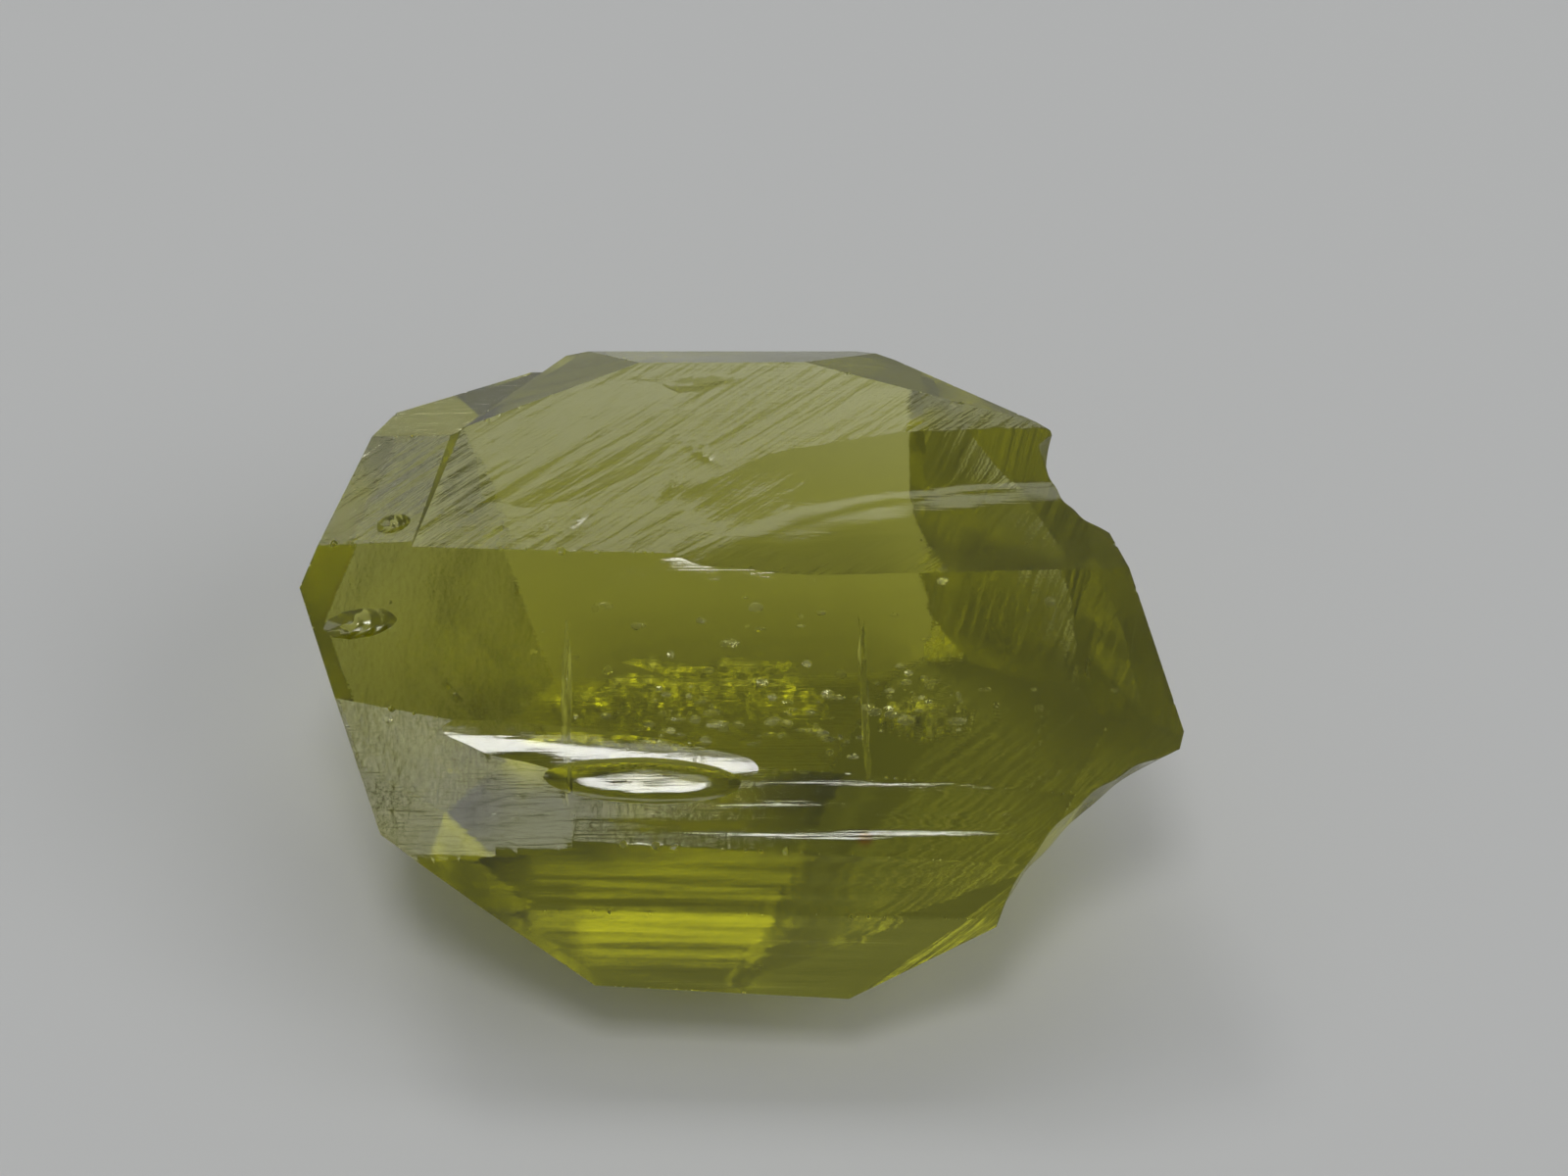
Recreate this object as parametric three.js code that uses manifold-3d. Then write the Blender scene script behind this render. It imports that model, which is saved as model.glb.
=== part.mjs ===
// A loose brazilianite crystal: one clear yellow-green solid that lies on a side, broken at one end.
// Millimetres and degrees. +X runs along the crystal to its broken end, +Y to its back, +Z up.
import * as THREE from 'three';
import { mergeVertices } from 'three/addons/utils/BufferGeometryUtils.js';
import Module from 'manifold-3d';

const wasm = await Module();
wasm.setup();

// The heart is the point that every face is measured from: its height above the surface it lies on.
const heartHeight = 6.0;
// The rough block is larger than the crystal, corners closer than weldGap are one, and edges
// shorter than finestEdge are closed up.
const blockSize = 60;
const weldGap = 1e-5;
const finestEdge = 0.004;
const heart = new THREE.Vector3(0, 0, heartHeight);

// Each flat face: turn is the compass direction it looks in (0 right, 90 back, 180 left, 270 front),
// rise is how far it looks up, and reach is its distance from the heart.
const faces = {
  top: { turn: 271, rise: 78.5, reach: 4.25 },
  frontSlope: { turn: 272, rise: 66, reach: 3.65 },
  frontUpper: { turn: 269, rise: 50, reach: 4.5 },
  frontMiddle: { turn: 268.5, rise: 40, reach: 5.25 },
  frontLower: { turn: 268.5, rise: 28, reach: 6.3 },
  frontUnder: { turn: 265.5, rise: -48.5, reach: 7.9 },
  base: { turn: 0, rise: -90, reach: heartHeight },
  leftSide: { turn: 194.5, rise: -12, reach: 10.5 },
  leftShoulder: { turn: 160, rise: 5, reach: 11.4 },
  leftUnder: { turn: 220.5, rise: -40, reach: 8.3 },
  leftBack: { turn: 128, rise: 8, reach: 11.2 },
  leftBackUnder: { turn: 140, rise: -35, reach: 8.8 },
  backBevel: { turn: 90, rise: 55, reach: 8.52 },
  back: { turn: 90, rise: 8, reach: 9.5 },
  backUnder: { turn: 92, rise: -32, reach: 6.6 },
  rightBack: { turn: 53, rise: 15, reach: 10.05 },
  rightBackUnder: { turn: 40, rise: -32, reach: 8.6 },
  rightBackBevel: { turn: 65, rise: 65, reach: 7.9 },
  rightCorner: { turn: 36, rise: -12, reach: 8.6 },
  rightUpper: { turn: 20, rise: -5, reach: 9.6 },
  rightSide: { turn: 350, rise: -12, reach: 11.6 },
  rightUnder: { turn: 334.5, rise: -42.7, reach: 7.8 },
  rightFoot: { turn: 332.5, rise: -58.5, reach: 6.0 },
};

// Broken planes lie inside the outer faces and only bound the pieces that have come away.
const breaks = {
  topFloor: { turn: 277, rise: 81, reach: 4.15 },
  topWall: { turn: 337, rise: 35, reach: -4.4 },
  backStrip: { turn: 121, rise: 61, reach: 8.4 },
  leftCap: { turn: 91, rise: 66, reach: 6.65 },
  capWall: { turn: 157, rise: -35, reach: 4.4 },
  stepFloor: { turn: 0, rise: 90, reach: 4.05 },
  stepEnd: { turn: 14, rise: 12, reach: 10.2 },
  stripFloor: { turn: 269, rise: 50, reach: 4.35 },
  stripEnd: { turn: 183, rise: 10, reach: 4.85 },
  edgeBreak: { turn: 270.5, rise: 58, reach: 4.05 },
  rightNotch: { turn: 39.5, rise: 10, reach: 9.75 },
  lowerRight: { turn: 324, rise: -30, reach: 9.33 },
};

// Pieces that have come away, each bounded by broken planes.
const lostPieces = [
  ['topFloor', 'topWall'],
  ['backStrip', 'topWall'],
  ['leftCap', 'capWall'],
  ['stepFloor', 'stepEnd'],
  ['stripFloor', 'stripEnd'],
];

// The broad step on the right of the top: a long dish with a flat floor and a rising rim, seen from above.
const step = {
  x: 10,
  y: 0,
  length: 31,
  width: 10.6,
  sides: 56,
  // Distance from the middle as a share of the rim, and height above the floor.
  profile: [
    [0, 0], [0.58, 0.02], [0.66, 0.1], [0.7, 0.11], [0.8, 0.36], [0.9, 0.6], [1, 0.86],
    [1.15, 1.6], [0, 1.6],
  ],
};

// Shell-shaped breaks. On a face, along runs right as seen from outside and up runs uphill, both from
// the foot of the heart, and spin turns the long side up from the right.
const shells = [
  { face: 'lowerRight', along: 0.4, up: 5.9, spin: 31, length: 6.4, width: 6, depth: 0.8 },
  { face: 'rightNotch', along: -3.8, up: 2.6, spin: 0, length: 3.8, width: 4.4, depth: 0.5 },
  { face: 'edgeBreak', along: -5.3, up: -2.6, spin: -6, length: 9.6, width: 1.7, depth: 0.22 },
  { face: 'frontSlope', along: -10.3, up: 0.7, spin: 8, length: 1.9, width: 0.8, depth: 0.22 },
  { face: 'frontSlope', along: -0.8, up: 0.6, spin: -3, length: 7, width: 3.4, depth: 0.1 },
  { face: 'top', along: -9.4, up: 2.6, spin: 20, length: 0.9, width: 0.55, depth: 0.16 },
  { face: 'topFloor', along: -3.8, up: 5.6, spin: 24, length: 6.2, width: 3.2, depth: 0.16 },
  { face: 'rightUpper', along: -3.4, up: -1.2, spin: 55, length: 8, width: 5, depth: 0.55 },
  { face: 'rightCorner', along: 0.8, up: -0.6, spin: 25, length: 11.5, width: 8, depth: 0.8 },
  { face: 'rightSide', along: -3.4, up: 1.2, spin: -30, length: 3.6, width: 3, depth: 0.4 },
  { face: 'rightBack', along: 3.4, up: 0.2, spin: 15, length: 6, width: 4, depth: 0.4 },
  { face: 'rightUnder', along: 3.2, up: 1.5, spin: 70, length: 5, width: 3.6, depth: 0.35 },
  { face: 'leftBack', along: -1.6, up: -0.4, spin: -20, length: 4.6, width: 3.2, depth: 0.3 },
];
const shellSides = 20;
const shellSteps = 7;
const shellRim = 1.2;
const shellHeight = 3;
const rippleShare = 0.09;
const ripplesAcross = 2.5;

// Thin spindle-shaped grooves where the top split away, fanning out from the front left corner.
const hackles = [
  { along: -7.8, up: 4.3, spin: 60, length: 2.5, width: 0.3, depth: 0.05 },
  { along: -6.2, up: 3.2, spin: 48, length: 1.4, width: 0.16, depth: 0.06 },
  { along: -5.2, up: 2.9, spin: 54, length: 1.4, width: 0.18, depth: 0.08 },
  { along: -4.35, up: 2.85, spin: 47, length: 1.9, width: 0.24, depth: 0.1 },
  { along: -5.8, up: 5.2, spin: 37, length: 2.9, width: 0.5, depth: 0.08 },
  { along: -4.4, up: 4.7, spin: 39, length: 1.9, width: 0.4, depth: 0.1 },
  { along: -3.7, up: 6.05, spin: 16, length: 2.7, width: 0.55, depth: 0.16 },
  { along: -2.0, up: 5.35, spin: 19, length: 1.9, width: 0.34, depth: 0.1 },
  { along: -0.65, up: 5.0, spin: -50, length: 1.6, width: 0.3, depth: 0.1 },
  { along: -1.6, up: 3.85, spin: 37, length: 1.7, width: 0.3, depth: 0.1 },
  { along: -2.8, up: 7.4, spin: 16, length: 3, width: 0.45, depth: 0.08 },
  { along: -0.8, up: 7.3, spin: 3, length: 3.3, width: 0.4, depth: 0.07 },
];

// Bundles of grooves that lie side by side, like the barbs of a feather.
const feathers = [
  { face: 'frontSlope', along: 4.8, up: -0.3, spin: -34, length: 3.6, count: 6 },
  { face: 'frontSlope', along: 8.1, up: -0.2, spin: -56, length: 2.8, count: 5 },
  { face: 'frontSlope', along: -7, up: -1.2, spin: -46, length: 4.2, count: 6 },
  { face: 'rightUpper', along: -2, up: 1.5, spin: 60, length: 3.4, count: 5 },
];
const barb = { gap: 0.3, width: 0.28, depth: 0.055 };
const barbSway = 4;
const shortestBarb = 0.5;

// Growth lines run along the crystal. Low and high bound them up the face, left and right along it.
const growthLines = [
  { face: 'frontUpper', count: 18, low: -4.6, high: -2.6, left: -4, right: 7.5 },
  { face: 'frontMiddle', count: 14, low: -5.4, high: -3.6, left: -8, right: 7 },
  { face: 'frontLower', count: 9, low: -6.6, high: -4.4, left: -5.5, right: 5.5 },
  { face: 'frontUnder', count: 10, low: -2.6, high: 2.4, left: -5, right: 5 },
  { face: 'back', count: 12, low: -3.4, high: 2.4, left: -6, right: 6 },
  { face: 'backUnder', count: 8, low: -3, high: 3, left: -6, right: 2 },
];
const lineLength = [2, 8];
const lineWidth = [0.08, 0.24];
const lineDepth = [0.018, 0.05];
const lineSway = 1.5;

// Small chips knocked off the edges where two faces meet, spread from one X to another.
const chippedEdges = [
  { pair: ['topFloor', 'frontSlope'], count: 9, from: -5.2, to: -1.2, size: [0.14, 0.34] },
  { pair: ['stepFloor', 'frontSlope'], count: 6, from: 0.5, to: 9.8, size: [0.1, 0.26] },
  { pair: ['frontSlope', 'frontUpper'], count: 4, from: 1, to: 10, size: [0.08, 0.2] },
  { pair: ['frontUpper', 'frontMiddle'], count: 3, from: -4.4, to: 7.5, size: [0.07, 0.16] },
  { pair: ['frontLower', 'frontUnder'], count: 5, from: -3.6, to: 2.6, size: [0.1, 0.24] },
  { pair: ['topFloor', 'backBevel'], count: 5, from: -1.6, to: 2.4, size: [0.14, 0.32] },
  { pair: ['backBevel', 'back'], count: 5, from: -4, to: 3, size: [0.16, 0.4] },
];
const chipLength = [1, 2];
const chipHeight = [0.7, 1];
const chipSway = 0.4;
const chanceSeed = 12;

const radians = THREE.MathUtils.degToRad;
const allFaces = { ...faces, ...breaks };

// Chance is seeded, so that every build gives the same crystal.
THREE.MathUtils.seededRandom(chanceSeed);
const between = (low, high) => THREE.MathUtils.lerp(low, high, THREE.MathUtils.seededRandom());
// The place of one of a row of things that stand about evenly between two ends.
const spread = (low, high, i, count) => THREE.MathUtils.lerp(low, high, (i + between(0, 1)) / count);

function direction({ turn, rise }) {
  const flat = Math.cos(radians(rise));
  return new THREE.Vector3(
    flat * Math.cos(radians(turn)),
    flat * Math.sin(radians(turn)),
    Math.sin(radians(rise)),
  );
}

// A closed geometry as a solid that can be joined and cut.
function solidFrom(geometry) {
  const bare = geometry.clone();
  bare.deleteAttribute('normal');
  bare.deleteAttribute('uv');
  const merged = mergeVertices(bare, weldGap);
  const corners = [];
  for (let i = 0; i < merged.index.count; i += 3) {
    const [a, b, c] = merged.index.array.subarray(i, i + 3);
    if (a !== b && b !== c && c !== a) {
      corners.push(a, b, c);
    }
  }
  return new wasm.Manifold(new wasm.Mesh({
    numProp: 3,
    vertProperties: new Float32Array(merged.attributes.position.array),
    triVerts: new Uint32Array(corners),
  }));
}

function geometryFrom(solid) {
  const mesh = solid.getMesh();
  const geometry = new THREE.BufferGeometry();
  geometry.setAttribute('position', new THREE.BufferAttribute(mesh.vertProperties, 3));
  geometry.setIndex(new THREE.BufferAttribute(mesh.triVerts, 1));
  geometry.computeVertexNormals();
  return geometry;
}

// The frame of a face: right as seen from outside, uphill, and outward, from the foot of the heart.
function faceFrame(face) {
  const outward = direction(face);
  const right = new THREE.Vector3(0, 0, 1).cross(outward).normalize();
  const uphill = outward.clone().cross(right);
  const frame = new THREE.Matrix4().makeBasis(right, uphill, outward);
  return frame.setPosition(heart.clone().addScaledVector(outward, face.reach));
}

// A cutting shape that was made about the Z axis, set on a face as a solid.
function onFace(geometry, { face, along, up, spin }) {
  geometry.rotateZ(radians(spin));
  geometry.translate(along, up, 0);
  return solidFrom(geometry.applyMatrix4(faceFrame(allFaces[face])));
}

// Everything outside a flat face, as a large block whose near side lies on the face.
function beyond(face) {
  const outward = direction(face);
  const block = new THREE.BoxGeometry(blockSize, blockSize, blockSize);
  const place = new THREE.Matrix4().makeRotationFromQuaternion(
    new THREE.Quaternion().setFromUnitVectors(new THREE.Vector3(1, 0, 0), outward),
  );
  const centre = heart.clone().addScaledVector(outward, face.reach + blockSize / 2);
  place.setPosition(centre);
  return solidFrom(block.applyMatrix4(place));
}

function cutFaces() {
  let body = solidFrom(new THREE.BoxGeometry(blockSize, blockSize, blockSize));
  for (const face of Object.values(faces)) {
    body = body.subtract(beyond(face));
  }
  return body;
}

function lostPiece([first, ...rest]) {
  let piece = beyond(breaks[first]);
  for (const name of rest) {
    piece = piece.intersect(beyond(breaks[name]));
  }
  return piece;
}

// A round profile turned about Z, stretched to a length along X and a width along Y.
function dishGeometry(profile, length, width, sides) {
  const points = profile.map(([share, height]) => new THREE.Vector2(share, height));
  const dish = new THREE.LatheGeometry(points, sides);
  dish.rotateX(Math.PI / 2);
  return dish.scale(length / 2, width / 2, 1);
}

function stepDish() {
  const dish = dishGeometry(step.profile, step.length, step.width, step.sides);
  return solidFrom(dish.translate(step.x, step.y, heartHeight + breaks.stepFloor.reach));
}

function shell({ face, along, up, spin, length, width, depth }) {
  const profile = [];
  for (let i = 0; i <= shellSteps; i += 1) {
    const share = shellRim * i / shellSteps;
    const ripple = rippleShare * share * Math.cos(2 * Math.PI * ripplesAcross * share);
    profile.push([share, depth * (share * share - 1 + ripple)]);
  }
  profile.push([shellRim, shellHeight], [0, shellHeight]);
  const dish = dishGeometry(profile, length, width, shellSides);
  return onFace(dish, { face, along, up, spin });
}

// A groove that tapers to nothing at both ends.
function spindle({ length, width, depth, ...place }) {
  const groove = new THREE.OctahedronGeometry(1);
  return onFace(groove.scale(length / 2, width / 2, depth), place);
}

function feather({ face, along, up, spin, length, count }) {
  const side = radians(spin + 90);
  const barbs = [];
  for (let i = 0; i < count; i += 1) {
    const shift = (i - (count - 1) / 2) * barb.gap;
    barbs.push(spindle({
      face,
      along: along + shift * Math.cos(side),
      up: up + shift * Math.sin(side),
      spin: spin + between(-barbSway, barbSway),
      length: length * between(shortestBarb, 1),
      width: barb.width,
      depth: barb.depth,
    }));
  }
  return barbs;
}

function growthLineSet({ face, count, low, high, left, right }) {
  const lines = [];
  for (let i = 0; i < count; i += 1) {
    lines.push(spindle({
      face,
      along: between(left, right),
      up: spread(low, high, i, count),
      spin: between(-lineSway, lineSway),
      length: between(...lineLength),
      width: between(...lineWidth),
      depth: between(...lineDepth),
    }));
  }
  return lines;
}

// The point at a given X on the edge where two faces meet.
function edgePoint(first, second, x) {
  const one = direction(first);
  const two = direction(second);
  const left = first.reach - one.x * x;
  const right = second.reach - two.x * x;
  const scale = one.y * two.z - one.z * two.y;
  const y = (left * two.z - right * one.z) / scale;
  const z = (one.y * right - two.y * left) / scale;
  return new THREE.Vector3(x, y, z).add(heart);
}

function edgeChips({ pair, count, from, to, size }) {
  const [first, second] = pair.map((name) => allFaces[name]);
  const outward = direction(first).add(direction(second)).normalize();
  const chips = [];
  for (let i = 0; i < count; i += 1) {
    const radius = between(...size);
    const chip = new THREE.IcosahedronGeometry(radius);
    chip.scale(between(...chipLength), 1, between(...chipHeight));
    chip.rotateX(between(0, Math.PI));
    chip.rotateY(between(-chipSway, chipSway));
    const place = edgePoint(first, second, spread(from, to, i, count));
    place.addScaledVector(outward, radius / 2);
    chips.push(solidFrom(chip.translate(place.x, place.y, place.z)));
  }
  return chips;
}

const cuts = [
  ...lostPieces.map(lostPiece),
  stepDish(),
  ...shells.map(shell),
  ...hackles.map((hackle) => spindle({ face: 'topFloor', ...hackle })),
  ...feathers.flatMap(feather),
  ...growthLines.flatMap(growthLineSet),
  ...chippedEdges.flatMap(edgeChips),
];
const body = cuts.reduce((solid, cut) => solid.subtract(cut), cutFaces()).simplify(finestEdge);

const crystalGeometry = geometryFrom(body);
const crystalMaterial = new THREE.MeshStandardMaterial({ color: 0xb4b43c, roughness: 0.08, metalness: 0 });
const crystalMesh = new THREE.Mesh(crystalGeometry, crystalMaterial);
crystalMesh.name = 'crystal';

// The origin is under the middle of the crystal, on the surface that it lies on.
crystalGeometry.computeBoundingBox();
const middle = crystalGeometry.boundingBox.getCenter(new THREE.Vector3());
crystalMesh.position.set(-middle.x, -middle.y, -crystalGeometry.boundingBox.min.z);

const brazilianite = new THREE.Group();
brazilianite.add(crystalMesh);

export default brazilianite;
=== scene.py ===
import math
import random
import bpy
import bmesh
from mathutils import Matrix, Vector, noise


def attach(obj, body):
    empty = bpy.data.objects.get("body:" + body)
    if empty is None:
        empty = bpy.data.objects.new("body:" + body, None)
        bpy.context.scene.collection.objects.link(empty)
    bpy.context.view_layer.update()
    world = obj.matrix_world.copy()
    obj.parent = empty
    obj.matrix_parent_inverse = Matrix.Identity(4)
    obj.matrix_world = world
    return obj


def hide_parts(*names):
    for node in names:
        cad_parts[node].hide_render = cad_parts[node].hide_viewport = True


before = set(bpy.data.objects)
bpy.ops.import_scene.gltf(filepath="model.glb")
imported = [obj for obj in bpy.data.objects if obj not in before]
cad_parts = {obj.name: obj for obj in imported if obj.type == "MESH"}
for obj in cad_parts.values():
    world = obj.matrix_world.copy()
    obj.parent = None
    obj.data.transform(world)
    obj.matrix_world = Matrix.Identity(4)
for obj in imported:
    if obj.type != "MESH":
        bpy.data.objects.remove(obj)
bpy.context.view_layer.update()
mm = 0.001
scene = bpy.context.scene
scene.view_settings.view_transform = "Standard"
scene.cycles.max_bounces = 16  # light turns round many times inside a clear crystal
scene.cycles.transmission_bounces = 16
scene.cycles.glossy_bounces = 12
print("frame loaded")

# the photo's view, in millimetres: from 45 degrees above the front
cameraSetup = {"aim": (1.17, 0.957, 8.568), "elevation": 45, "distance": 180, "imageWidth": 42.7, "sensor": 36,
               "clipStart": 10}


def makeCamera(setup):
    rise = math.radians(setup["elevation"])
    back = Vector((0, -math.cos(rise), math.sin(rise)))
    camData = bpy.data.cameras.new("camera")
    camData.sensor_width = setup["sensor"]
    camData.lens = setup["sensor"] * setup["distance"] / setup["imageWidth"]
    camData.clip_start = setup["clipStart"] * mm
    cam = bpy.data.objects.new("camera", camData)
    cam.location = (Vector(setup["aim"]) + back * setup["distance"]) * mm
    cam.rotation_mode = "QUATERNION"
    cam.rotation_quaternion = (-back).to_track_quat("-Z", "Y")
    scene.collection.objects.link(cam)
    scene.camera = cam


makeCamera(cameraSetup)
print("camera placed")

heart = Vector((0.036, -0.241, 6.0))  # every face is measured from here, in millimetres

# flat faces: compass direction they look in, how far they look up, distance from the heart
flatFaces = {
    "top": (271, 78.5, 4.25),
    "frontSlope": (272, 66, 3.65),
    "frontUpper": (269, 50, 4.5),
    "frontMiddle": (268.5, 40, 5.25),
    "frontLower": (268.5, 28, 6.3),
    "frontUnder": (265.5, -48.5, 7.9),
    "base": (0, -90, 6.0),
    "leftSide": (194.5, -12, 10.5),
    "leftShoulder": (160, 5, 11.4),
    "leftUnder": (220.5, -40, 8.3),
    "leftBack": (128, 8, 11.2),
    "leftBackUnder": (140, -35, 8.8),
    "backBevel": (90, 55, 8.52),
    "back": (90, 8, 9.5),
    "backUnder": (92, -32, 6.6),
    "rightBack": (53, 15, 10.05),
    "rightBackUnder": (40, -32, 8.6),
    "rightBackBevel": (65, 65, 7.9),
    "rightCorner": (36, -12, 8.6),
    "rightUpper": (20, -5, 9.6),
    "rightSide": (350, -12, 11.6),
    "rightUnder": (334.5, -42.7, 7.8),
    "rightFoot": (332.5, -58.5, 6.0),
}

# broken planes, which only bound the pieces that have come away
brokenPlanes = {
    "topFloor": (277, 81, 4.15),
    "topWall": (337, 35, -4.4),
    "backStrip": (121, 61, 8.4),
    "leftCap": (91, 66, 6.65),
    "capWall": (157, -35, 4.4),
    "stepFloor": (0, 90, 4.05),
    "stepEnd": (14, 12, 10.2),
    "stripFloor": (266.5, 50.3, 4.56),
    "stripEnd": (183, 10, 4.85),
    "edgeBreak": (270.5, 58, 4.05),
    "stripChip": (269.5, 54, 4.13),
    "rightNotch": (39.5, 10, 9.75),
    "lowerRight": (324, -30, 9.33),
}
lostPieces = [
    ("topFloor", "topWall"),
    ("backStrip", "topWall"),
    ("leftCap", "capWall"),
    ("stepFloor", "stepEnd"),
    ("stripFloor", "stripEnd"),
]
allPlanes = {**flatFaces, **brokenPlanes}
roughBlock = 60  # the block that the crystal is cut from


def facePlace(name):
    turn, rise, reach = allPlanes[name]
    turn, rise = math.radians(turn), math.radians(rise)
    outward = Vector((math.cos(rise) * math.cos(turn), math.cos(rise) * math.sin(turn), math.sin(rise)))
    right = Vector((0, 0, 1)).cross(outward)
    right = right.normalized() if right.length > 1e-6 else Vector((0, 1, 0))
    place = Matrix((right, outward.cross(right), outward)).transposed().to_4x4()
    place.translation = heart + outward * reach
    return place


places = {name: facePlace(name) for name in allPlanes}


def onFace(name, along, up, spin=0, lift=0):
    return places[name] @ Matrix.Translation((along, up, lift)) @ Matrix.Rotation(math.radians(spin), 4, "Z")


def newObject(name, bm):
    mesh = bpy.data.meshes.new(name)
    bm.to_mesh(mesh)
    bm.free()
    made = bpy.data.objects.new(name, mesh)
    scene.collection.objects.link(made)
    return made


def cutFlat(bm, name, keepInside=True):
    geom = bm.verts[:] + bm.edges[:] + bm.faces[:]
    place = places[name]
    cut = bmesh.ops.bisect_plane(bm, geom=geom, plane_co=place.translation, plane_no=place.col[2].xyz,
                                 clear_outer=keepInside, clear_inner=not keepInside)
    rim = [part for part in cut["geom_cut"] if isinstance(part, bmesh.types.BMEdge)]
    bmesh.ops.edgeloop_fill(bm, edges=rim)


def blockCut(name, planes, keepInside):
    bm = bmesh.new()
    bmesh.ops.create_cube(bm, size=roughBlock, matrix=Matrix.Translation(heart))
    for plane in planes:
        cutFlat(bm, plane, keepInside)
    bmesh.ops.recalc_face_normals(bm, faces=bm.faces)
    return newObject(name, bm)


def cutAway(piece, cutter):
    cut = piece.modifiers.new("cut", "BOOLEAN")
    cut.operation = "DIFFERENCE"
    cut.solver = "MANIFOLD"
    cut.object = cutter
    mesh = bpy.data.meshes.new_from_object(piece.evaluated_get(bpy.context.evaluated_depsgraph_get()))
    piece.modifiers.clear()
    old, piece.data = piece.data, mesh
    used = cutter.data
    bpy.data.meshes.remove(old)
    bpy.data.objects.remove(cutter)
    bpy.data.meshes.remove(used)


def turned(bm, points, sides):
    profile = [bm.verts.new((x, 0, z)) for x, z in points]
    edges = [bm.edges.new(pair) for pair in zip(profile, profile[1:])]
    bmesh.ops.spin(bm, geom=profile + edges, cent=(0, 0, 0), axis=(0, 0, 1), angle=2 * math.pi,
                   steps=sides, use_merge=True)
    bmesh.ops.remove_doubles(bm, verts=bm.verts, dist=1e-5)


def smoothCutter(name, bm):
    bmesh.ops.recalc_face_normals(bm, faces=bm.faces)
    for face in bm.faces:
        face.smooth = True
    return newObject(name, bm)


# the broad step on the right of the top: share of the rim, and height above the floor
step = {
    "x": 10, "length": 31, "width": 10.6, "sides": 200,
    "sway": 0.05, "swaySize": 1.6, "swaySlice": 3.1, "swayBetween": (0.05, 1.5),
    "profile": [(0, 0), (0.3, 0.0), (0.5, 0.005), (0.56, 0.015), (0.6, 0.035), (0.64, 0.075), (0.67, 0.1),
                (0.7, 0.115), (0.74, 0.19), (0.8, 0.36), (0.85, 0.48), (0.9, 0.6), (0.95, 0.73), (1, 0.86),
                (1.15, 1.6), (0, 1.6)],
}


def stepCutter(setup):
    bm = bmesh.new()
    turned(bm, setup["profile"], setup["sides"])
    bmesh.ops.scale(bm, vec=(setup["length"] / 2, setup["width"] / 2, 1), verts=bm.verts)
    low, high = setup["swayBetween"]
    size = setup["swaySize"]
    for vert in bm.verts:
        if low < vert.co.z < high:
            spot = Vector((vert.co.x / size, vert.co.y / size, setup["swaySlice"]))
            vert.co.z += setup["sway"] * noise.noise(spot)
    lift = heart + Vector((setup["x"], 0, allPlanes["stepFloor"][2]))
    bmesh.ops.translate(bm, vec=lift, verts=bm.verts)
    return smoothCutter("step", bm)


# shell-shaped breaks: place on the face, spin, length, width and depth
shells = {
    "lowerRight": [(0.4, 5.9, 31, 6.4, 6, 0.8)],
    "rightNotch": [(-3.8, 2.6, 0, 3.8, 4.4, 0.5)],
    "edgeBreak": [(-5.3, -2.6, -6, 9.6, 1.6, 0.13)],
    "frontSlope": [(-10.3, 0.7, 8, 1.9, 0.8, 0.22), (-0.8, 0.6, -3, 7, 3.4, 0.1)],
    "top": [(-9.4, 2.6, 20, 0.9, 0.55, 0.16)],
    "topFloor": [(-3.8, 5.6, 24, 6.2, 3.2, 0.06)],
    "rightUpper": [(-3.4, -1.2, 55, 8, 5, 0.55)],
    "rightCorner": [(0.8, -0.6, 25, 11.5, 8, 0.8)],
    "rightSide": [(-3.4, 1.2, -30, 3.6, 3, 0.4)],
    "rightBack": [(3.4, 0.2, 15, 6, 4, 0.4)],
    "rightUnder": [(3.2, 1.5, 70, 5, 3.6, 0.35)],
    "leftBack": [(-1.6, -0.4, -20, 4.6, 3.2, 0.3)],
}
# a flat chip, which mirrors the front light
flatChips = {"stripChip": [(-2.6, -3.17, -2, 4.4, 1.05, 0.075)]}
# a shell's ripples spread from the place it was struck
shellMake = {"sides": 72, "rings": 28, "rim": 1.15, "grow": 1.04, "lid": 3, "power": 2,
             "struck": (-1.1, 0.25, 0), "ripple": 0.045, "waves": 1.5, "quicken": 1.4, "lumps": 2.2}
flatMake = {**shellMake, "power": 4, "ripple": 0.02}
# bruised places of the underside, which show through the front as crumbly bands
bruises = {
    "base": [(3.05, -1.4, 88, 7.4, 2.2, 0.3)],
    "rightFoot": [(3.75, 0.45, 90, 3.6, 1.5, 0.24)],
}
bruiseMake = {"sides": 130, "rings": 44, "rim": 1.1, "lid": 3, "power": 2, "ragged": 0.4, "raggedLumps": 0.9,
              "crumb": 0.1, "crumbSize": 0.26, "fineShare": 0.5, "finer": 2.3}
lidMargin = 0.01  # points this close to a cutter's lid stay flat


def dish(depth, make):
    points = []
    for i in range(make["rings"] + 1):
        share = make["rim"] * i / make["rings"]
        points.append((share, depth * (share ** make["power"] - 1)))
    points += [(make["rim"], make["lid"]), (0, make["lid"])]
    bm = bmesh.new()
    turned(bm, points, make["sides"])
    return bm


def shellCutter(place, length, width, depth, make):
    bm = dish(depth, make)
    struck = Vector(make["struck"])
    for vert in bm.verts:
        if vert.co.z < make["lid"] - lidMargin:
            flat = Vector((vert.co.x, vert.co.y, 0))
            ring = (flat - struck).length ** make["quicken"]
            rise = math.cos(2 * math.pi * make["waves"] * ring)
            rise += noise.noise(flat * make["lumps"] + Vector((0, 0, length)))
            vert.co.z += make["ripple"] * depth * rise
    bmesh.ops.scale(bm, vec=(make["grow"] * length / 2, make["grow"] * width / 2, 1), verts=bm.verts)
    bmesh.ops.transform(bm, matrix=place, verts=bm.verts)
    return smoothCutter("shell", bm)


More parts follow.
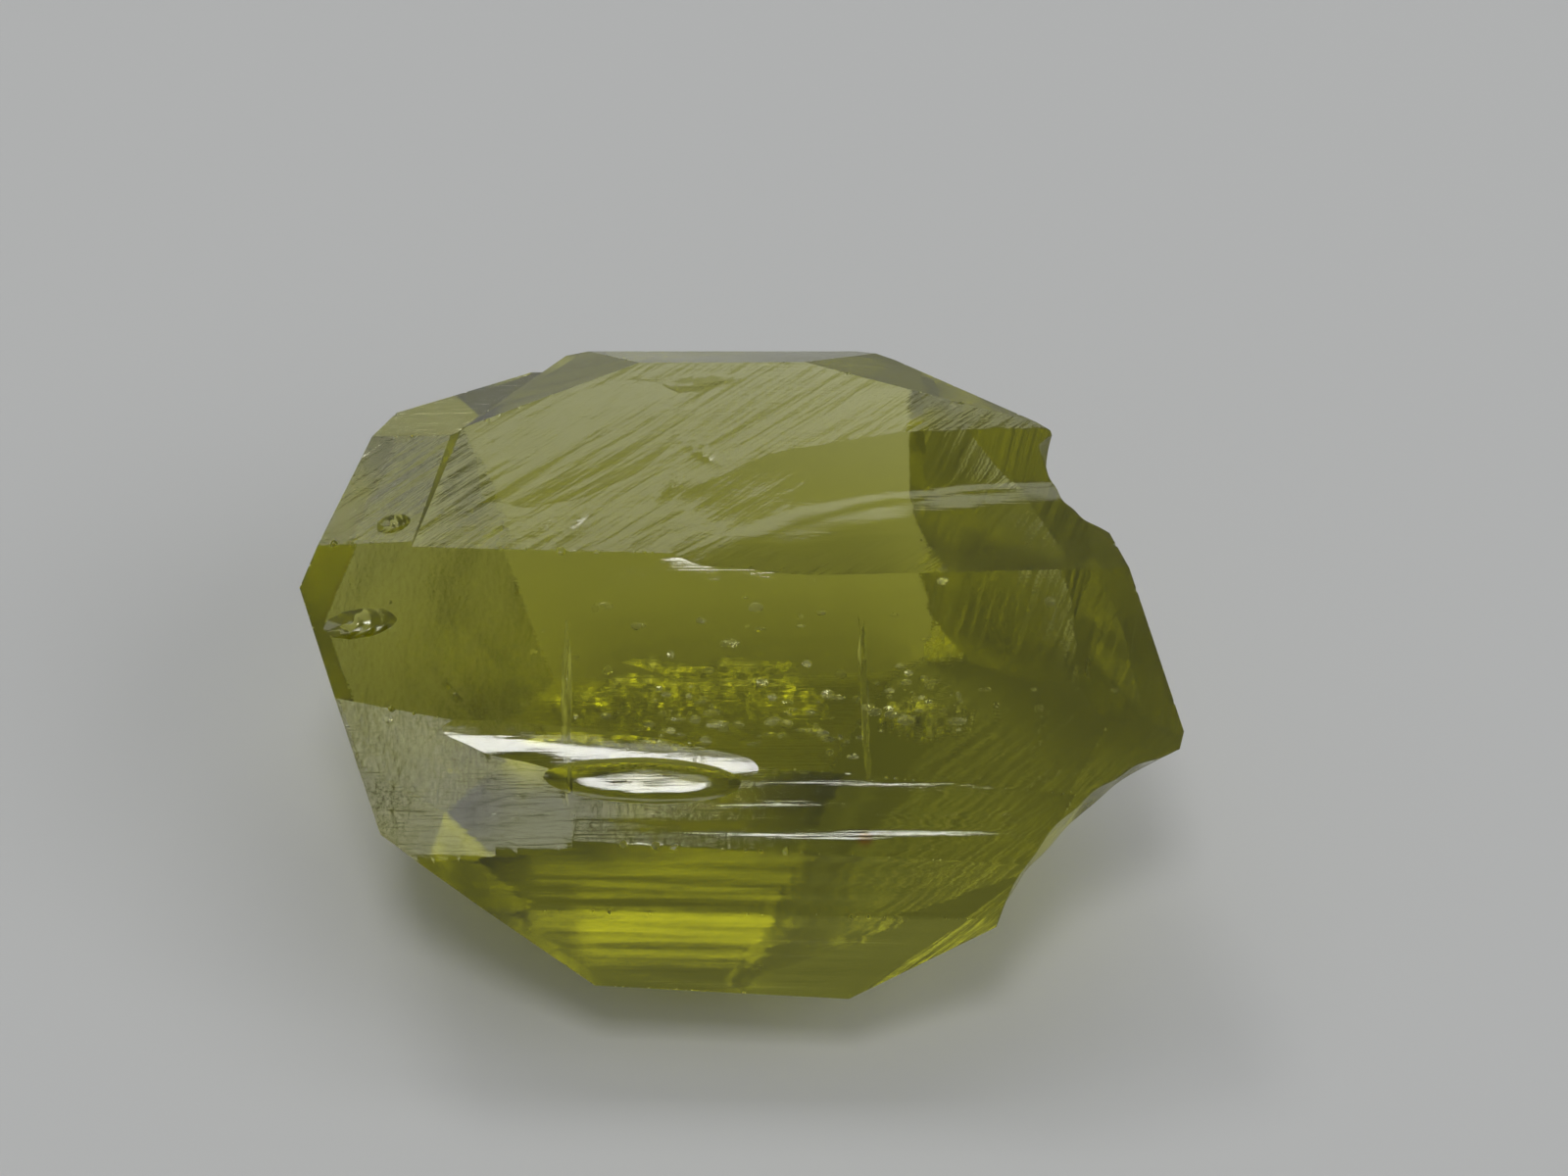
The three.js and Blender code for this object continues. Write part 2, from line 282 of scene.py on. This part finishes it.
def bruiseCutter(place, length, width, depth, make):
    bm = dish(depth, make)
    bmesh.ops.scale(bm, vec=(length / 2, width / 2, 1), verts=bm.verts)
    for vert in bm.verts:
        spot = vert.co.copy()
        edge = Vector((spot.x, spot.y, 0)) * make["raggedLumps"] + Vector((0, 0, length))
        ragged = 1 + make["ragged"] * noise.noise(edge)
        vert.co.x *= ragged
        vert.co.y *= ragged
        if spot.z < make["lid"] - lidMargin:
            grain = spot / make["crumbSize"]
            fine = make["fineShare"] * noise.noise(grain * make["finer"])
            vert.co.z += make["crumb"] * (noise.noise(grain) + fine)
    bmesh.ops.transform(bm, matrix=place, verts=bm.verts)
    bmesh.ops.recalc_face_normals(bm, faces=bm.faces)
    return newObject("bruise", bm)


# small chips knocked off the upper edges, at most one to a stretch of edge
chips = {"seed": 4, "stretch": 0.55, "radius": (0.02, 0.17), "rarity": 3, "squash": (0.6, 1.4),
         "standOff": (0.45, 0.8), "shortestEdge": 1.2, "leastTurn": 9, "ends": 0.06, "lowest": 0.1,
         "apart": 1.5, "frost": 0.6}


def edgeChips(piece, setup):
    rng = random.Random(setup["seed"])
    bm = bmesh.new()
    bm.from_mesh(piece.data)
    cutter = bmesh.new()
    made = []  # chips stay clear of each other
    for edge in bm.edges:
        if edge.calc_length() < setup["shortestEdge"] or len(edge.link_faces) != 2:
            continue
        if edge.calc_face_angle_signed() < math.radians(setup["leastTurn"]):
            continue
        first, last = edge.verts[0].co, edge.verts[1].co
        outward = (edge.link_faces[0].normal + edge.link_faces[1].normal).normalized()
        if outward.z < setup["lowest"]:
            continue
        count = int(edge.calc_length() / setup["stretch"] + rng.random())
        for _ in range(count):
            small, large = setup["radius"]
            radius = small + (large - small) * rng.random() ** setup["rarity"]  # most chips are tiny
            share = rng.uniform(setup["ends"], 1 - setup["ends"])
            middle = first.lerp(last, share) + outward * radius * rng.uniform(*setup["standOff"])
            if any((middle - other).length < setup["apart"] * (radius + far) for other, far in made):
                continue
            made.append((middle, radius))
            place = Matrix.Translation(middle)
            angle = rng.uniform(0, math.pi)
            turn = Matrix.Rotation(angle, 4, Vector([rng.uniform(-1, 1) for _ in range(3)]))
            size = Matrix.Diagonal([rng.uniform(*setup["squash"]) for _ in range(3)] + [1])
            bmesh.ops.create_icosphere(cutter, subdivisions=1, radius=radius, matrix=place @ turn @ size)
    bm.free()
    layer = cutter.faces.layers.float.new("frost")
    for face in cutter.faces:
        face[layer] = setup["frost"]
    return newObject("chips", cutter)


flatTurn = math.radians(0.1)  # faces that meet at less than this are one flat face
# edges are worn round by a hair's breadth
wornEdges = {"width": 0.03, "leastTurn": 12, "frost": 0.5}


def wearEdges(piece, setup):
    bm = bmesh.new()
    bm.from_mesh(piece.data)
    layer = bm.faces.layers.float.new("frost")
    bmesh.ops.dissolve_limit(bm, angle_limit=flatTurn, verts=bm.verts, edges=bm.edges,
                             use_dissolve_boundaries=False)
    sharp = [edge for edge in bm.edges if edge.calc_face_angle_signed() > math.radians(setup["leastTurn"])]
    made = bmesh.ops.bevel(bm, geom=sharp, offset=setup["width"], affect="EDGES", segments=2, profile=0.5,
                           material=-1, clamp_overlap=True)
    for face in made["faces"]:
        face[layer] = setup["frost"]
    bm.to_mesh(piece.data)
    bm.free()


crystal = blockCut("brazilianite", flatFaces, True)
for planes in lostPieces:
    cutAway(crystal, blockCut("lostPiece", planes, False))
wearEdges(crystal, wornEdges)
print("flat faces cut", len(crystal.data.polygons))
cutAway(crystal, stepCutter(step))
for breaks, make in ((shells, shellMake), (flatChips, flatMake)):
    for faceName, rows in breaks.items():
        for along, up, spin, length, width, depth in rows:
            cutAway(crystal, shellCutter(onFace(faceName, along, up, spin), length, width, depth, make))
print("shells cut", len(crystal.data.polygons))
chipCutter = edgeChips(crystal, chips)

# cracks that cross the crystal: place on the front slope, depth of the middle, half height, half depth, lean
cracks = {
    "gap": 0.02, "sway": 0.12, "swayLumps": 2, "rag": 0.25, "ragLumps": 3, "ragSlice": 5,
    "rows": [(-4.78, -1.6, 1.3, 2.4, 1.35, 5), (3.2, -1.5, 1.2, 2.2, 1.25, -7)],
}
# loose flakes inside: place and depth, spread each way, count
flakes = {
    "seed": 21, "size": (0.04, 0.16), "long": (0.8, 2), "wide": (0.5, 1.2), "thin": 0.12, "lean": 7, "sway": 11,
    "shallowest": 0.4,
    "rows": [(-1.8, -1.9, 0.8, 1.2, 0.45, 0.3, 40), (1.6, -2.2, 0.9, 1, 0.45, 0.3, 40),
             (4.9, -1.6, 0.9, 1, 0.4, 0.3, 30), (0, -0.5, 2.2, 4.5, 1.5, 1.2, 50)],
}


def crackShape(bm, setup, along, up, depth, high, deep, lean):
    made = bmesh.ops.create_icosphere(bm, subdivisions=5, radius=1)["verts"]
    for vert in made:
        spot = Vector((0, vert.co.y, vert.co.z))
        wave = setup["sway"] * noise.noise(spot * setup["swayLumps"] + Vector((along, 0, 0)))
        rag = noise.noise(spot * setup["ragLumps"] + Vector((along, setup["ragSlice"], 0)))
        ragged = 1 + setup["rag"] * rag
        vert.co = (vert.co.x * setup["gap"] / 2 + wave, vert.co.y * high * ragged, vert.co.z * deep * ragged)
    turn = Matrix.Rotation(math.radians(lean), 4, "Y")
    bmesh.ops.transform(bm, matrix=onFace("frontSlope", along, up, 0, -depth) @ turn, verts=made)
    for vert in made:
        for face in vert.link_faces:
            face.smooth = True


def looseFlakes(bm, setup):
    rng = random.Random(setup["seed"])
    for along, up, depth, wide, high, deep, count in setup["rows"]:
        for _ in range(count):
            down = -max(setup["shallowest"], rng.gauss(depth, deep))
            place = onFace("frontSlope", rng.gauss(along, wide), rng.gauss(up, high), 0, down)
            turn = Matrix.Rotation(math.radians(rng.gauss(setup["lean"], setup["sway"])), 4, "X")
            roll = Matrix.Rotation(math.radians(rng.gauss(0, setup["sway"])), 4, "Y")
            radius = rng.uniform(*setup["size"])
            flat = Matrix.Diagonal((rng.uniform(*setup["long"]), rng.uniform(*setup["wide"]), setup["thin"], 1))
            bmesh.ops.create_icosphere(bm, subdivisions=1, radius=radius, matrix=place @ turn @ roll @ flat)


def innerFlaws():
    bm = bmesh.new()
    for row in cracks["rows"]:
        crackShape(bm, cracks, *row)
    looseFlakes(bm, flakes)
    return newObject("innerFlaws", bm)


# relief of the faces, in layers of height, width and length: growth lines along the crystal,
# streaks on the broken top, gentle waves elsewhere
growthLook = {"gap": 0.07, "run": 0.9, "layers": [(0.02, 0.5, 9), (0.012, 0.2, 6), (0.006, 0.09, 3)]}
waveLook = {"gap": 0.3, "run": 0.3, "layers": [(0.014, 2.2, 2.8), (0.004, 0.8, 1.0)]}
slopeLook = {"gap": 0.16, "run": 0.22, "layers": [(0.02, 2.6, 3.4), (0.006, 0.9, 1.6)]}
topLook = {"gap": 0.11, "run": 0.16, "spin": 32,
           "layers": [(0.012, 1.6, 6), (0.007, 0.5, 4), (0.0035, 0.2, 2.5)]}
relief = {
    "frontUpper": growthLook, "stripFloor": waveLook, "frontMiddle": growthLook, "frontLower": growthLook,
    "frontUnder": growthLook, "back": growthLook, "backUnder": growthLook, "backBevel": waveLook,
    "topFloor": topLook, "top": waveLook, "frontSlope": slopeLook, "leftSide": waveLook,
    "leftShoulder": waveLook, "leftUnder": waveLook, "leftBack": waveLook, "leftBackUnder": waveLook,
    "leftCap": waveLook, "backStrip": waveLook,
}
# bundles of streaks that lie side by side like the barbs of a feather: place, spin, length, count
feathers = [(4.8, -0.3, -34, 3.6, 6), (8.1, -0.2, -56, 2.8, 5), (-7, -1.2, -46, 4.2, 6)]
barb = {"gap": 0.3, "width": 0.3, "depth": 0.035, "sway": 4, "shortest": 0.5, "seed": 9}


def featherStreaks(rows, make):
    rng = random.Random(make["seed"])
    made = []
    for along, up, spin, length, count in rows:
        side = math.radians(spin + 90)
        for i in range(count):
            shift = (i - (count - 1) / 2) * make["gap"]
            made.append((along + shift * math.cos(side), up + shift * math.sin(side),
                         spin + rng.uniform(-make["sway"], make["sway"]),
                         length * rng.uniform(make["shortest"], 1), make["width"], make["depth"]))
    return made


# streaks, where the top split away and on the front slope: place, spin, length, width, depth
streaks = {
    "topFloor": [
        (-7.8, 4.3, 60, 2.5, 0.3, 0.03), (-6.2, 3.2, 48, 1.4, 0.2, 0.04), (-5.2, 2.9, 54, 1.4, 0.22, 0.05),
        (-4.35, 2.85, 47, 1.9, 0.26, 0.06), (-5.8, 5.2, 37, 2.9, 0.5, 0.05), (-4.4, 4.7, 39, 1.9, 0.4, 0.05),
        (-3.7, 6.05, 16, 2.7, 0.55, 0.07), (-2.0, 5.35, 19, 1.9, 0.36, 0.06),
        (-0.65, 5.0, -50, 1.6, 0.32, 0.06), (-1.6, 3.85, 37, 1.7, 0.32, 0.06), (-2.8, 7.4, 16, 3, 0.5, 0.05),
        (-0.8, 7.3, 3, 3.3, 0.45, 0.05),
    ],
    "frontSlope": featherStreaks(feathers, barb),
}
layerStep = 7.3  # sets the layers of a relief apart in the noise


def reliefHeight(name, look, u, v):
    turn = math.radians(look.get("spin", 0))
    along = u * math.cos(turn) + v * math.sin(turn)
    across = v * math.cos(turn) - u * math.sin(turn)
    height = 0
    for k, (size, wide, long) in enumerate(look["layers"]):
        height += size * noise.noise(Vector((along / long, across / wide, layerStep * k)))
    for x, y, spin, length, width, depth in streaks.get(name, []):
        turn = math.radians(spin)
        p = ((u - x) * math.cos(turn) + (v - y) * math.sin(turn)) / (length / 2)
        q = ((v - y) * math.cos(turn) - (u - x) * math.sin(turn)) / (width / 2)
        inside = 1 - p * p - abs(q)
        if inside > 0:
            height -= depth * inside
    return height


# a face lies on a plane if it is large enough, looks the same way and is this close
samePlane = {"area": 0.01, "facing": 0.9999, "distance": 0.004}


def facesByPlane(bm):
    found = {name: [] for name in relief}
    for face in bm.faces:
        if face.smooth or face.calc_area() < samePlane["area"]:
            continue
        middle = face.calc_center_median()
        for name, faces in found.items():
            outward = places[name].col[2].xyz
            away = abs((middle - places[name].translation).dot(outward))
            if face.normal.dot(outward) > samePlane["facing"] and away < samePlane["distance"]:
                faces.append(face)
                break
    return found


def vertsOf(faces):
    return list(dict.fromkeys(vert for face in faces for vert in face.verts))


def edgesOf(faces):
    return list(dict.fromkeys(edge for face in faces for edge in face.edges))


def sliceFaces(bm, faces, place, axis, gap):
    way = place.col[axis].xyz
    spans = [(vert.co - place.translation).dot(way) for face in faces for vert in face.verts]
    sliced = []
    left = list(faces)
    at = min(spans, default=0) + gap
    while at < max(spans, default=0) - gap / 2:
        parts = bmesh.ops.bisect_plane(bm, geom=vertsOf(left) + edgesOf(left) + left, dist=1e-4,
                                       plane_co=place.translation + way * at, plane_no=way)["geom"]
        left = []
        for part in parts:
            if isinstance(part, bmesh.types.BMFace):
                beyond = (part.calc_center_median() - place.translation).dot(way) > at
                (left if beyond else sliced).append(part)
        at += gap
    return sliced + left


fadeRings = 4  # the relief fades out over this many rows of points at a face's border


def ringsInside(moves, most):
    rings = {}
    row = [vert for vert in moves if any(edge.other_vert(vert) not in moves for edge in vert.link_edges)]
    for ring in range(1, most):
        rings.update((vert, ring) for vert in row)
        around = {edge.other_vert(vert) for vert in row for edge in vert.link_edges}
        row = [vert for vert in around if vert in moves and vert not in rings]
    rings.update((vert, most) for vert in moves if vert not in rings)
    return rings


def carveRelief(piece):
    bm = bmesh.new()
    bm.from_mesh(piece.data)
    layer = bm.faces.layers.float.new("carved")
    flat = [face for face in bm.faces if not face.smooth]
    bmesh.ops.dissolve_limit(bm, angle_limit=flatTurn, verts=vertsOf(flat), edges=edgesOf(flat),
                             use_dissolve_boundaries=False)
    moves = {}
    carved = []
    for name, faces in facesByPlane(bm).items():
        place, look = places[name], relief[name]
        faces = sliceFaces(bm, faces, place, 0, look["run"])
        faces = sliceFaces(bm, faces, place, 1, look["gap"])
        mine = set(faces)
        back = place.inverted()
        for vert in vertsOf(faces):
            if all(face in mine for face in vert.link_faces):
                u, v, _ = back @ vert.co
                moves[vert] = place.col[2].xyz * reliefHeight(name, look, u, v)
        carved += faces
    for vert, ring in ringsInside(moves, fadeRings).items():
        vert.co += moves[vert] * ring / fadeRings
    for face in carved:
        face.smooth = True
        face[layer] = 1
    bmesh.ops.triangulate(bm, faces=[face for face in bm.faces if len(face.verts) > 4])
    bm.to_mesh(piece.data)
    bm.free()


carveRelief(crystal)
print("relief carved", len(crystal.data.polygons))
cutAway(crystal, chipCutter)
print("edges chipped", len(crystal.data.polygons))
for faceName, rows in bruises.items():
    for along, up, spin, length, width, depth in rows:
        cutAway(crystal, bruiseCutter(onFace(faceName, along, up, spin), length, width, depth, bruiseMake))
print("underside bruised", len(crystal.data.polygons))
cutAway(crystal, innerFlaws())
print("cracks and flakes cut", len(crystal.data.polygons))

# how frosted the breaks are, where they lie, and how far faces may turn and still be shaded as one
frost = {"rightEnd": 0.45, "endFacing": 0.3, "endFrom": 5, "topFloor": 0.12, "topFacing": 0.93, "topNear": 0.25}
roundTurn = math.radians(16)


def finishFaces(piece):
    bm = bmesh.new()
    bm.from_mesh(piece.data)
    frosted = bm.faces.layers.float["frost"]
    carved = bm.faces.layers.float["carved"]
    top = places["topFloor"]
    for face in bm.faces:
        middle = face.calc_center_median()
        offTop = abs((middle - top.translation).dot(top.col[2].xyz))
        if face.normal.x > frost["endFacing"] and middle.x > frost["endFrom"]:
            face[frosted] = frost["rightEnd"]
        elif face.normal.z > frost["topFacing"] and offTop < frost["topNear"]:
            face[frosted] = frost["topFloor"]
    for edge in bm.edges:
        if len(edge.link_faces) == 2:
            first, last = edge.link_faces
            even = edge.calc_face_angle() < roundTurn
            edge.smooth = even and first.smooth and last.smooth and first[carved] == last[carved]
    bmesh.ops.scale(bm, vec=(mm, mm, mm), verts=bm.verts)
    bm.to_mesh(piece.data)
    bm.free()


finishFaces(crystal)
print("faces finished", len(crystal.data.polygons))

# clear yellow-green crystal: refractive index, what a metre of it absorbs, and how its surface varies
clearCrystal = {
    "ior": 1.61, "density": 290, "tint": (0.83, 0.828, 0.05), "clear": 1.0, "body": (0.97, 0.97, 0.86),
    "gloss": 0.025, "frosted": 0.5, "smudge": 0.05, "smudgeScale": 700,
    "lineBump": 0.12, "lineDepth": 0.03, "lineScale": (160, 14000, 14000),
    "grainBump": 0.05, "grainDepth": 0.05, "grainScale": 5000,
    "silkTurn": 38, "silkDepth": 0.3, "silkScale": (330, 3200, 1),
    "speck": (3.33, -6.55, 6.65), "speckSize": 0.3, "speckCore": 0.12, "speckColour": (0.8, 0.25, 0.02),
}


def addNode(mat, kind, **values):
    node = mat.node_tree.nodes.new(kind)
    for name, value in values.items():
        if name in node.inputs:
            node.inputs[name].default_value = value
        else:
            setattr(node, name, value)
    return node


def crystalMaterial(look):
    mat = bpy.data.materials.new("clearCrystal")
    mat.use_nodes = True
    nodes, links = mat.node_tree.nodes, mat.node_tree.links
    shader = nodes["Principled BSDF"]
    shader.inputs["Transmission Weight"].default_value = look["clear"]
    shader.inputs["IOR"].default_value = look["ior"]
    absorb = addNode(mat, "ShaderNodeVolumeAbsorption", Color=(*look["tint"], 1), Density=look["density"])
    links.new(absorb.outputs["Volume"], nodes["Material Output"].inputs["Volume"])
    place = addNode(mat, "ShaderNodeTexCoord").outputs["Object"]

    # roughness: frost of the breaks, and smudges
    frosted = addNode(mat, "ShaderNodeAttribute", attribute_name="frost")
    base = addNode(mat, "ShaderNodeMapRange", **{"To Min": look["gloss"], "To Max": look["frosted"]})
    links.new(frosted.outputs["Fac"], base.inputs["Value"])
    smudges = addNode(mat, "ShaderNodeTexNoise", Scale=look["smudgeScale"], Detail=4)
    links.new(place, smudges.inputs["Vector"])
    smudge = addNode(mat, "ShaderNodeMath", operation="MULTIPLY_ADD")
    links.new(smudges.outputs["Fac"], smudge.inputs[0])
    smudge.inputs[1].default_value = look["smudge"]
    links.new(base.outputs["Result"], smudge.inputs[2])
    links.new(smudge.outputs["Value"], shader.inputs["Roughness"])

    # bump: hair-fine growth lines along the crystal, grain, and silky streaks where it is frosted
    lineSpace = addNode(mat, "ShaderNodeMapping", Scale=look["lineScale"])
    links.new(place, lineSpace.inputs["Vector"])
    lines = addNode(mat, "ShaderNodeTexNoise", Scale=1, Detail=3)
    links.new(lineSpace.outputs["Vector"], lines.inputs["Vector"])
    lineBump = addNode(mat, "ShaderNodeBump", Strength=look["lineBump"], Distance=look["lineDepth"] * mm)
    links.new(lines.outputs["Fac"], lineBump.inputs["Height"])
    grain = addNode(mat, "ShaderNodeTexNoise", Scale=look["grainScale"], Detail=5)
    links.new(place, grain.inputs["Vector"])
    grainBump = addNode(mat, "ShaderNodeBump", Strength=look["grainBump"], Distance=look["grainDepth"] * mm)
    links.new(grain.outputs["Fac"], grainBump.inputs["Height"])
    links.new(lineBump.outputs["Normal"], grainBump.inputs["Normal"])
    silkTurn = addNode(mat, "ShaderNodeMapping", Rotation=(0, 0, math.radians(-look["silkTurn"])))
    links.new(place, silkTurn.inputs["Vector"])
    silkSpace = addNode(mat, "ShaderNodeMapping", Scale=look["silkScale"])
    links.new(silkTurn.outputs["Vector"], silkSpace.inputs["Vector"])
    silk = addNode(mat, "ShaderNodeTexNoise", Scale=1, Detail=3)
    links.new(silkSpace.outputs["Vector"], silk.inputs["Vector"])
    silkBump = addNode(mat, "ShaderNodeBump", Distance=look["silkDepth"] * mm)
    links.new(frosted.outputs["Fac"], silkBump.inputs["Strength"])
    links.new(silk.outputs["Fac"], silkBump.inputs["Height"])
    links.new(grainBump.outputs["Normal"], silkBump.inputs["Normal"])
    links.new(silkBump.outputs["Normal"], shader.inputs["Normal"])

    # colour: an orange speck of rust
    reach = addNode(mat, "ShaderNodeVectorMath", operation="DISTANCE")
    links.new(place, reach.inputs[0])
    reach.inputs[1].default_value = Vector(look["speck"]) * mm
    near = addNode(mat, "ShaderNodeMapRange", **{
        "From Min": look["speckCore"] * mm, "From Max": look["speckSize"] * mm, "To Min": 1, "To Max": 0})
    links.new(reach.outputs["Value"], near.inputs["Value"])
    colour = addNode(mat, "ShaderNodeMix", data_type="RGBA")
    colour.inputs[6].default_value = (*look["body"], 1)
    colour.inputs[7].default_value = (*look["speckColour"], 1)
    links.new(near.outputs["Result"], colour.inputs[0])
    links.new(colour.outputs[2], shader.inputs["Base Color"])
    return mat


crystal.data.materials.clear()
crystal.data.materials.append(crystalMaterial(clearCrystal))
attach(crystal, "root")
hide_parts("crystal")
print("crystal finished")

studio = {"floor": (0.62, 0.62, 0.61), "floorSize": 1.6, "floorDrop": 0.02, "floorRoughness": 0.85,
          "wall": (0.36, 0.37, 0.38), "wallTop": 0.1, "ceiling": (0.2, 0.21, 0.22), "ceilingFrom": 0.75,
          "lampDistance": 0.8}
# soft lamps, sized in metres: compass direction, elevation, width and height, radiance
lamps = {
    "backLight": (92, 66, (0.9, 0.2), 1.5),
    "streakLight": (116, 53, (0.16, 0.14), 7),
    "lowBackLight": (100, 6, (0.4, 0.16), 3),
    "frontLight": (264, 67, (0.16, 0.18), 13),
    "sideLight": (260, 54, (0.09, 0.1), 2.2),
    "rightLight": (330, 45, (0.6, 0.4), 1.4),
}


def paleFloor(setup):
    bm = bmesh.new()
    bmesh.ops.create_grid(bm, x_segments=1, y_segments=1, size=setup["floorSize"] / 2)
    bmesh.ops.translate(bm, vec=(0, 0, -setup["floorDrop"] * mm), verts=bm.verts)
    floor = newObject("floor", bm)
    mat = bpy.data.materials.new("paleFloor")
    mat.use_nodes = True
    shader = mat.node_tree.nodes["Principled BSDF"]
    shader.inputs["Base Color"].default_value = (*setup["floor"], 1)
    shader.inputs["Roughness"].default_value = setup["floorRoughness"]
    floor.data.materials.append(mat)


def softLight(name, turn, elevation, size, radiance):
    lampData = bpy.data.lights.new(name, "AREA")
    lampData.shape = "RECTANGLE"
    lampData.size, lampData.size_y = size
    lampData.energy = radiance * math.pi * size[0] * size[1]
    lamp = bpy.data.objects.new(name, lampData)
    turn, rise = math.radians(turn), math.radians(elevation)
    way = Vector((math.cos(rise) * math.cos(turn), math.cos(rise) * math.sin(turn), math.sin(rise)))
    lamp.location = way * studio["lampDistance"]
    lamp.rotation_mode = "QUATERNION"
    lamp.rotation_quaternion = (-way).to_track_quat("-Z", "Y")
    scene.collection.objects.link(lamp)


def dimRoom(setup):
    world = bpy.data.worlds.new("studio")
    world.use_nodes = True
    nodes, links = world.node_tree.nodes, world.node_tree.links
    way = nodes.new("ShaderNodeTexCoord")
    parts = nodes.new("ShaderNodeSeparateXYZ")
    links.new(way.outputs["Generated"], parts.inputs["Vector"])
    ramp = nodes.new("ShaderNodeValToRGB")
    ramp.color_ramp.elements[0].position = setup["wallTop"]
    ramp.color_ramp.elements[0].color = (*setup["wall"], 1)
    ramp.color_ramp.elements[1].position = setup["ceilingFrom"]
    ramp.color_ramp.elements[1].color = (*setup["ceiling"], 1)
    links.new(parts.outputs["Z"], ramp.inputs["Fac"])
    links.new(ramp.outputs["Color"], nodes["Background"].inputs["Color"])
    scene.world = world


paleFloor(studio)
dimRoom(studio)
for lampName, row in lamps.items():
    softLight(lampName, *row)
print("studio lit")
